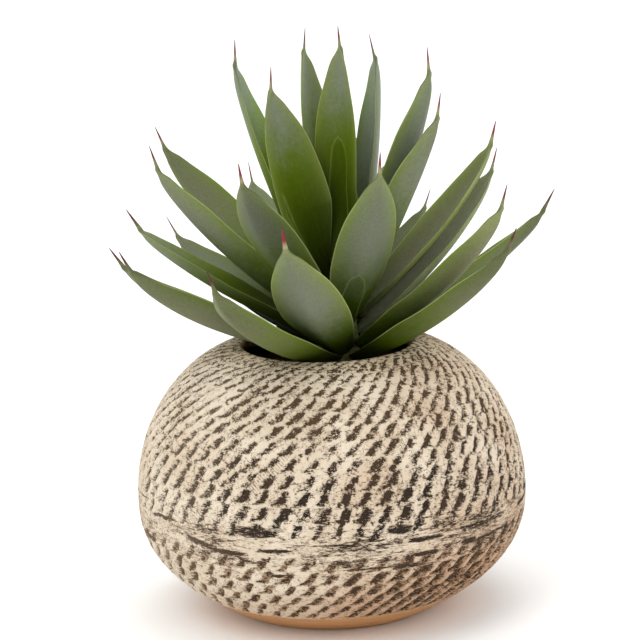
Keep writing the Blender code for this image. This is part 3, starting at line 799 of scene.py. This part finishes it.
def makeLeaf(number, row, material, rng):
    # rings stand along the blade's middle line: half * across to each side and half * cup * channel up, less
    # the thickness on the underside, where across runs from -1 to 1; the spine is rings that shrink
    form, rightMm, backMm, upMm, bow, turn, sweep, _, spineName, _ = row
    spineMm, _, blunt = leafSpines[spineName]
    spineRadius = spineMm / 1000
    width, neck, cup = leafForms[form]
    rootShare = ((number - 1) / (len(leafRows) - 1)) ** leaf["rootSpread"]
    rootHeight = leaf["lowestRoot"] + (leaf["highestRoot"] - leaf["lowestRoot"]) * rootShare
    spineEnd = np.array([rightMm, backMm, upMm]) / 1000
    root, heading, lift, length = aimBlade(spineEnd, rootHeight, bow, sweep)
    path = np.linspace(0, 1, leaf["pathSteps"] + 1)
    along, _ = bladeDirections(path, heading, lift, bow, sweep)
    steps = (along[1:] + along[:-1]) / 2 * length / leaf["pathSteps"]
    line = root + np.vstack([np.zeros(3), np.cumsum(steps, axis=0)])

    # stations: the blade, closer together towards its tip, then the spine straight on from it
    t = np.linspace(0, 1, leaf["bladeStations"])
    s = 0.55 * t + 0.45 * np.sin(np.pi / 2 * t)
    beyond = np.linspace(0, 1, leaf["spineStations"] + 1)[1:]
    centre = np.stack([np.interp(s, path, line[:, axis]) for axis in range(3)], axis=-1)
    along, level = bladeDirections(s, heading, lift, bow, sweep)
    normal = np.cross(along, level)
    roll = np.radians(turn * np.clip(s / leaf["turnedBy"], 0, 1))[:, None]
    side = level * np.cos(roll) + normal * np.sin(roll)
    up = normal * np.cos(roll) - level * np.sin(roll)
    half = bladeHalf(s, width, neck) * (1 - leaf["tipNarrower"] * smoothStep(s, 0.72, 0.97))
    half = np.maximum(half - leaf["tipTrim"] * smoothStep(s, 0.9, 1.0), 0)
    power = leaf["neckPower"]
    half = (half**power + (spineRadius * leaf["spineFlare"]) ** power) ** (1 / power)
    thickness = np.minimum(leaf["thickness"] * (1 - leaf["tipThinner"] * s), 1.3 * half)

    # the section: over the channelled top from one margin to the other and back under, with a fine round edge
    count = leaf["halfAround"]
    turnRound = np.arange(2 * count) * np.pi / count
    across = -np.cos(turnRound)
    across = 0.35 * across + 0.65 * np.sign(across) * np.abs(np.sin(np.pi / 2 * across))
    under = (turnRound > np.pi).astype(float)
    facing = 1 - 2 * under
    arch = np.sqrt(1 - across**2) * facing
    flat = np.abs(across)
    soft, power = leaf["channelFloor"], leaf["channelPower"]
    channel = ((across**2 + soft) ** power - soft**power) / ((1 + soft) ** power - soft**power)
    body = 1 - flat ** leaf["backPower"]
    keel = leaf["foldedKeel"] if form == "folded" else leaf["openKeel"]
    ridge = keel * np.exp(-((across / leaf["keelWidth"]) ** 2))
    wave = leaf["ripple"] * np.sin(2 * np.pi * (leaf["ripples"] * s + rng.uniform()))
    wave = wave * smoothStep(s, 0.15, 0.4) * (1 - smoothStep(s, 0.8, 0.97))
    rim = leaf["edge"] * (1 - flat ** leaf["edgePower"]) * np.clip(half / 0.006, 0.2, 1)[:, None] / 2
    rise = half[:, None] * cup * channel[None] + wave[:, None] * (across * flat)[None] + rim * facing
    rise = rise - under * (thickness[:, None] * body + ridge * smoothStep(half, 0.002, 0.006)[:, None])
    sideways = side[:, None] * (half[:, None] * across)[..., None]
    blade = centre[:, None] + sideways + up[:, None] * rise[..., None]

    # the spine: circles that shrink to a point, bent a little to one side
    tip = centre[-1] - up[-1] * thickness[-1] * 0.4
    ring = side[-1] * across[:, None] + up[-1] * arch[:, None]
    leanAside = side[-1] * rng.uniform(-leaf["spineAside"], leaf["spineAside"])
    radius = spineRadius * (blunt + (1 - blunt) * (1 - beyond) ** leaf["spineTaper"])
    radius = radius * (leaf["spineFlare"] + (1 - leaf["spineFlare"]) * smoothStep(beyond, 0, 0.3))
    middle = tip + along[-1] * leaf["spineDrawn"] * beyond[:, None] + leanAside * (beyond**1.6)[:, None]
    spine = middle[:, None] + ring[None] * radius[:, None, None]
    # the last stations of the blade turn round as they reach the spine
    near = smoothStep(s, 0.93, 1.0)[:, None, None]
    neckLine = centre - up * (thickness * 0.4)[:, None]
    neckGrid = neckLine[:, None] + sideways
    neckHigh = np.minimum(thickness * 0.45, half)
    neckHigh = neckHigh + (half - neckHigh) * smoothStep(s, 0.96, 1.0)
    neckGrid = neckGrid + up[:, None] * (neckHigh[:, None] * arch)[..., None]
    blade = blade * (1 - near) + neckGrid * near
    grid = np.concatenate([blade, spine])
    tipPoint = middle[-1] + along[-1] * 0.0001
    piece = closedTube(f"blade_{number:02d}", grid, material, grid[0].mean(axis=0), tipPoint)
    along, half = np.concatenate([s, 1 + beyond]), np.concatenate([half, radius])
    dressLeaf(piece, number, row, length * 1000, along, half, across, under)
    return piece


def leafMaterial():
    g = Graph("agaveSkin")
    tone = paints(leaf["colors"])
    skin, waxAndLight, fleshAndLight = (g.attribute(name, "Vector") for name in ("skin", "waxAndLight", "fleshAndLight"))
    along, edge, keelHighlight, redness, imprint, bloom, margin = (
        g.attribute(name) for name in ("along", "edge", "keelHighlight", "redness", "imprint", "bloom", "margin"))
    blotch = g.swing(g.stretch(skin, (1.0, 0.6, 1.0)), 0.15, 3, 0.55)
    cloud = g.swing(g.stretch(skin, (1.0, 0.8, 1.0)), 0.6, 4, 0.65)
    grain = g.swing(skin, 2.2, 2, 0.7)
    fibre = g.swing(g.stretch(skin, (1.2, 0.08, 1.0)), 1.0, 3, 0.6)
    # how much the waxy bloom covers: in soft clouds, less along the margins but not near the tip
    ragged = g.timesPlus(cloud, -0.5, g.times(edge, -0.32))
    band = g.math("EXPONENT", ragged, clamp=True)
    tipward = g.fade(along, 0.72, 0.98)
    share = g.timesPlus(blotch, 0.6, g.timesPlus(cloud, 0.25, bloom))
    share = g.fade(share, -0.5, 0.5, 0.0, 0.9)
    less = g.times(band, g.timesPlus(tipward, -0.6, 0.8))
    share = g.times(share, g.math("SUBTRACT", 1.0, less))
    # flesh and bloom, which carry each leaf's painted light and shade, each get their own fine variation
    green = g.mix(g.fade(fibre, -0.2, 0.25, 0.0, 0.07), fleshAndLight, tone["fibre"])
    grey = g.mix(g.fade(grain, -0.2, 0.3, 0.0, 0.12), waxAndLight, tone["dust"])
    pressed = g.timesPlus(blotch, 2.0, imprint)
    # a fine pale line along the rounded edge: partly the real pale margin, partly a painted highlight
    rimLineAndHighlight = g.times(g.fade(edge, 0.5, 0.15), g.fade(along, 1.02, 0.98))
    rimLineAndHighlight = g.times(rimLineAndHighlight, g.fade(along, 0.1, 0.35, 0.1, 0.6))
    specks = g.fade(g.noise(skin, 1.1, 1, 0.4), 0.765, 0.79)
    color = g.coats(
        green,
        (share, grey),
        # imprint: darker and greener inside the old outline, with a fine pale line along it
        (g.fade(pressed, -0.2, 1.8, 0.0, 0.3), tone["pressed"]),
        (g.fade(g.math("ABSOLUTE", pressed), 0.45, 0.1, 0.0, 0.3), tone["trace"]),
        # a painted highlight along the keel of a folded leaf
        (g.times(keelHighlight, 0.4), tone["keelHighlight"]),
        # margins: a wide pale green band, partly the greener margin itself and partly painted light along the
        # lit edges, then a fine line, partly a painted highlight, that turns olive-brown towards the tip
        (g.times(band, g.times(margin, 0.8)), tone["margin"]),
        (rimLineAndHighlight, g.mix(g.fade(along, 0.78, 0.95), tone["rim"], tone["rimTip"])),
        (g.times(specks, 0.5), tone["speck"]),
    )
    grainy = g.timesPlus(grain, 0.45, g.timesPlus(cloud, 0.35, 1.0))
    grainy = g.add("ShaderNodeCombineXYZ", {0: grainy, 1: grainy, 2: grainy})
    # spine: the blade's own colour runs into it, then brown or crimson, then dark at the tip
    color = g.coats(
        g.mix(1.0, color, grainy, "MULTIPLY"),
        (g.fade(along, 0.97, 1.12), g.mix(redness, tone["spineBase"], tone["redBase"])),
        (g.fade(along, 1.15, 1.5), g.mix(redness, tone["spineMiddle"], tone["redMiddle"])),
        (g.fade(along, 1.7, 1.95), g.mix(redness, tone["spineTip"], tone["redTip"])),
    )
    relief = g.timesPlus(fibre, 0.25, g.times(cloud, 0.6))
    relief = g.plus(relief, g.fade(pressed, -0.5, 0.5, 0.6, 0.0))
    normal = g.bump(relief, 0.00015, 0.5)
    roughness = g.fade(share, 0.0, 1.0, 0.45, 0.6)
    specular = g.fade(share, 0.0, 1.0, 0.05, 0.2)
    return g.finish(color=color, roughness=roughness, normal=normal, specular=specular)


leafSkin = leafMaterial()
leafDraws = np.random.default_rng(leaf["seed"])
for number, row in enumerate(leafRows, start=1):
    piece = makeLeaf(number, row, leafSkin, leafDraws)
    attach(piece, "root")
    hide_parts(f"leaf_{number:02d}")
print("leaves made:", len(leafRows))


# Stage: floor, light and camera

studio = {
    "floorSize": 14.0, "floorColor": "fcfcfb", "floorShade": "fafaf9",
    "worldStrength": 1.16,
    "lamps": (  # name, place, size, watts
        ("keyLamp", (-1.1, -1.6, 2.2), 1.6, 14.4),
        ("fillLamp", (1.8, -1.4, 1.3), 1.8, 3.6),
        ("topLamp", (0.3, 0.6, 2.4), 1.6, 8.4),
    ),
    "lookAt": (-0.0029, 0.0, 0.1344), "distance": 1.4, "elevation": 12.8, "roll": -1.87, "lens": 171.64,
}


def makeFloor():
    g = Graph("studioFloor")
    spot = g.position()
    color = g.mix(g.noise(spot, 0.8, 1), paint(studio["floorColor"]), paint(studio["floorShade"]))
    material = g.finish(color=color, roughness=0.9, specular=0.1)
    reach = studio["floorSize"] / 2
    corners = [(-reach, -reach, 0), (reach, -reach, 0), (reach, reach, 0), (-reach, reach, 0)]
    mesh = bpy.data.meshes.new("studio_floor")
    mesh.from_pydata(corners, [], [(0, 1, 2, 3)])
    mesh.materials.append(material)
    floor = bpy.data.objects.new("studio_floor", mesh)
    bpy.context.scene.collection.objects.link(floor)


def makeLights():
    world = bpy.data.worlds.new("studio_world")
    world.use_nodes = True
    background = world.node_tree.nodes["Background"]
    background.inputs["Color"].default_value = (1.0, 1.0, 1.0, 1.0)
    background.inputs["Strength"].default_value = studio["worldStrength"]
    bpy.context.scene.world = world
    for name, place, size, watts in studio["lamps"]:
        lamp = bpy.data.lights.new(name, "AREA")
        lamp.shape, lamp.size, lamp.energy = "DISK", size, watts
        holder = bpy.data.objects.new(name, lamp)
        holder.location = place
        aim = Vector((0, 0, 0.12)) - Vector(place)
        holder.rotation_euler = aim.to_track_quat("-Z", "Y").to_euler()
        bpy.context.scene.collection.objects.link(holder)


def makeCamera():
    tilt = np.radians(studio["elevation"])
    target = Vector(studio["lookAt"])
    back = Vector((0, -np.cos(tilt), np.sin(tilt)))
    lens = bpy.data.cameras.new("studio_camera")
    lens.lens, lens.sensor_width = studio["lens"], 36.0
    holder = bpy.data.objects.new("studio_camera", lens)
    upright = (-back).to_track_quat("-Z", "Y").to_matrix()
    turned = upright @ Matrix.Rotation(np.radians(studio["roll"]), 3, "Z")
    holder.matrix_world = Matrix.Translation(target + back * studio["distance"]) @ turned.to_4x4()
    bpy.context.scene.collection.objects.link(holder)
    bpy.context.scene.camera = holder


makeFloor()
makeLights()
makeCamera()
bpy.context.scene.view_settings.view_transform = "Standard"
